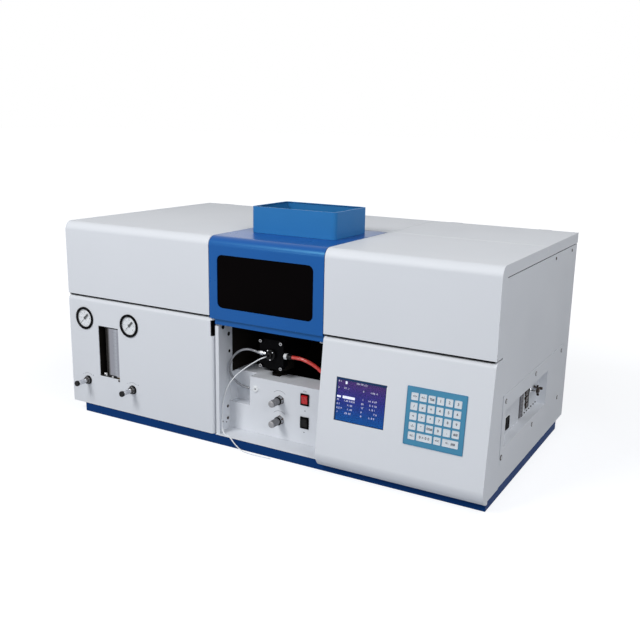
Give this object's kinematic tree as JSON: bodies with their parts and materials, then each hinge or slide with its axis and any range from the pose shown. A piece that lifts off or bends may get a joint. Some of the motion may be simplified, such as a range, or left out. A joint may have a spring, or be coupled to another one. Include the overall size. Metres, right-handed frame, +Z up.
{
  "type": "atomic absorption spectrometer",
  "caption": "Wide bench instrument with lifting covers, a burner bay under a windowed hood and chimney, a gas control panel on the left and a display with keypad on the right.",
  "frame": {"origin": "on the bench, under the middle of the bounding box", "axes": "+X along the front towards the keypad end, +Y from the front to the rear, +Z up"},
  "size_m": [1.0212, 0.5896, 0.504],
  "materials": {
    "white_paint": "semi-gloss",
    "blue_paint": "semi-gloss",
    "light_blue_paint": "semi-gloss",
    "navy_paint": "satin",
    "black_paint": "matt",
    "tinted_plastic": "gloss",
    "foot_rubber": "matt",
    "steel": "satin",
    "gauge_case": "satin",
    "black_pointer": "matt",
    "clear_plastic": "gloss",
    "bronze": "satin",
    "brass": "satin",
    "casting": "cast",
    "lamp_glass": "gloss",
    "black_plastic": "matt",
    "red_plastic": "gloss",
    "red_tube": "gloss",
    "clear_tube": "gloss",
    "display": "gloss",
    "keypad": "matt",
    "circuit_board": "matt"
  },
  "bodies": {
    "cabinet": {"bay_surround": "white_paint", "control_box": "white_paint", "left_side_panel": "white_paint", "right_side_panel": "white_paint", "rear_panel": "white_paint", "left_lower_panel": "white_paint", "right_lower_panel": "white_paint", "middle_rear_cover": "white_paint", "service_panel": "white_paint", "base_plinth": "navy_paint", "bay_liner": "black_paint", "lens_barrel_left": "black_paint", "lens_barrel_right": "black_paint", "foot_front_left": "foot_rubber", "foot_front_right": "foot_rubber", "foot_rear_left": "foot_rubber", "foot_rear_right": "foot_rubber", "rear_hinge_rod": "steel", "hood_hinge_rod": "steel", "pressure_gauge_left": "gauge_case", "pressure_gauge_right": "gauge_case", "flowmeter_block": "clear_plastic", "gas_valve_left": "bronze", "gas_valve_right": "bronze", "gas_manifold": "brass", "lamp_carriage": "casting", "monochromator": "casting", "burner_guide": "casting", "switch_mount": "black_plastic", "service_connectors": "black_plastic", "fuel_hose": "red_tube", "nebulizer_hose": "clear_tube", "capillary_upper": "clear_tube", "capillary_lower": "clear_tube", "display_module": "display", "keypad_membrane": "keypad", "electronics_tray": "circuit_board"},
    "left_lid": {"left_lid": "white_paint"},
    "right_lid": {"right_lid": "white_paint"},
    "hood": {"hood": "blue_paint", "hood_window": "tinted_plastic", "chimney": "light_blue_paint"},
    "gauge_needle_left": {"gauge_needle_left": "black_pointer"},
    "gauge_needle_right": {"gauge_needle_right": "black_pointer"},
    "flowmeter_float": {"flowmeter_float": "steel"},
    "gas_valve_knob_left": {"gas_valve_knob_left": "steel"},
    "gas_valve_knob_right": {"gas_valve_knob_right": "steel"},
    "lamp_turret": {"lamp_turret": "black_paint", "hollow_cathode_lamp_1": "lamp_glass", "hollow_cathode_lamp_2": "lamp_glass"},
    "burner_slide": {"burner_slide": "black_paint"},
    "burner_lift": {"burner_lift": "black_paint", "spray_chamber": "black_plastic", "end_cap": "black_plastic", "nebulizer": "steel"},
    "burner_head": {"burner_head": "steel"},
    "height_knob": {"height_knob": "steel"},
    "fore_aft_knob": {"fore_aft_knob": "steel"},
    "red_rocker": {"red_rocker": "red_plastic"},
    "black_rocker": {"black_rocker": "black_plastic"}
  },
  "joints": [
    {"name": "left_lid_hinge", "type": "hinge", "parent": "cabinet", "child": "left_lid", "pos_m": [-0.3083, 0.2838, 0.444], "axis": [-1, 0, 0], "range_deg": [0, 60]},
    {"name": "right_lid_hinge", "type": "hinge", "parent": "cabinet", "child": "right_lid", "pos_m": [0.3381, 0.2838, 0.444], "axis": [-1, 0, 0], "range_deg": [0, 60]},
    {"name": "hood_hinge", "type": "hinge", "parent": "cabinet", "child": "hood", "pos_m": [0.0304, 0.0178, 0.446], "axis": [-1, 0, 0], "range_deg": [0, 75]},
    {"name": "left_gauge_pointer", "type": "hinge", "parent": "cabinet", "child": "gauge_needle_left", "pos_m": [-0.4629, -0.2562, 0.2293], "axis": [0, 1, 0], "range_deg": [0, 270], "stiffness_Nm_per_rad": 0.0002},
    {"name": "right_gauge_pointer", "type": "hinge", "parent": "cabinet", "child": "gauge_needle_right", "pos_m": [-0.3286, -0.2562, 0.2293], "axis": [0, 1, 0], "range_deg": [0, 270], "stiffness_Nm_per_rad": 0.0002},
    {"name": "flowmeter_float_rise", "type": "slide", "parent": "cabinet", "child": "flowmeter_float", "axis": [0, 0, 1], "range_m": [0, 0.1]},
    {"name": "left_gas_valve_turn", "type": "hinge", "parent": "cabinet", "child": "gas_valve_knob_left", "pos_m": [-0.4611, -0.2762, 0.0812], "axis": [0, -1, 0], "range_deg": [0, 1080]},
    {"name": "right_gas_valve_turn", "type": "hinge", "parent": "cabinet", "child": "gas_valve_knob_right", "pos_m": [-0.3241, -0.2762, 0.0812], "axis": [0, -1, 0], "range_deg": [0, 1080]},
    {"name": "lamp_turret_turn", "type": "hinge", "parent": "cabinet", "child": "lamp_turret", "pos_m": [-0.2606, -0.0362, 0.311], "axis": [1, 0, 0], "range_deg": [0, 270]},
    {"name": "burner_fore_aft", "type": "slide", "parent": "cabinet", "child": "burner_slide", "axis": [0, 1, 0], "range_m": [-0.008, 0.008], "deforming": ["fuel_hose", "nebulizer_hose", "capillary_upper"]},
    {"name": "burner_height", "type": "slide", "parent": "burner_slide", "child": "burner_lift", "axis": [0, 0, 1], "range_m": [-0.01, 0.01], "deforming": ["fuel_hose", "nebulizer_hose", "capillary_upper"]},
    {"name": "burner_head_turn", "type": "hinge", "parent": "burner_lift", "child": "burner_head", "pos_m": [0.0054, -0.0912, 0.274], "axis": [0, 0, 1], "range_deg": [-90, 90]},
    {"name": "height_knob_turn", "type": "hinge", "parent": "cabinet", "child": "height_knob", "pos_m": [0.0374, -0.2262, 0.111], "axis": [0, -1, 0], "range_deg": [-1801, 1801]},
    {"name": "fore_aft_knob_turn", "type": "hinge", "parent": "cabinet", "child": "fore_aft_knob", "pos_m": [0.0374, -0.2262, 0.0665], "axis": [0, -1, 0], "range_deg": [-1441, 1441]},
    {"name": "red_rocker_press", "type": "hinge", "parent": "cabinet", "child": "red_rocker", "pos_m": [0.0984, -0.2047, 0.1233], "axis": [-1, 0, 0], "range_deg": [0, 16]},
    {"name": "black_rocker_press", "type": "hinge", "parent": "cabinet", "child": "black_rocker", "pos_m": [0.0984, -0.2047, 0.073], "axis": [-1, 0, 0], "range_deg": [0, 16]}
  ],
  "couplings": [
    {"joint": "height_knob_turn", "follows": "burner_height", "rad_per_m": 3141.6},
    {"joint": "fore_aft_knob_turn", "follows": "burner_fore_aft", "rad_per_m": 3141.6}
  ]
}
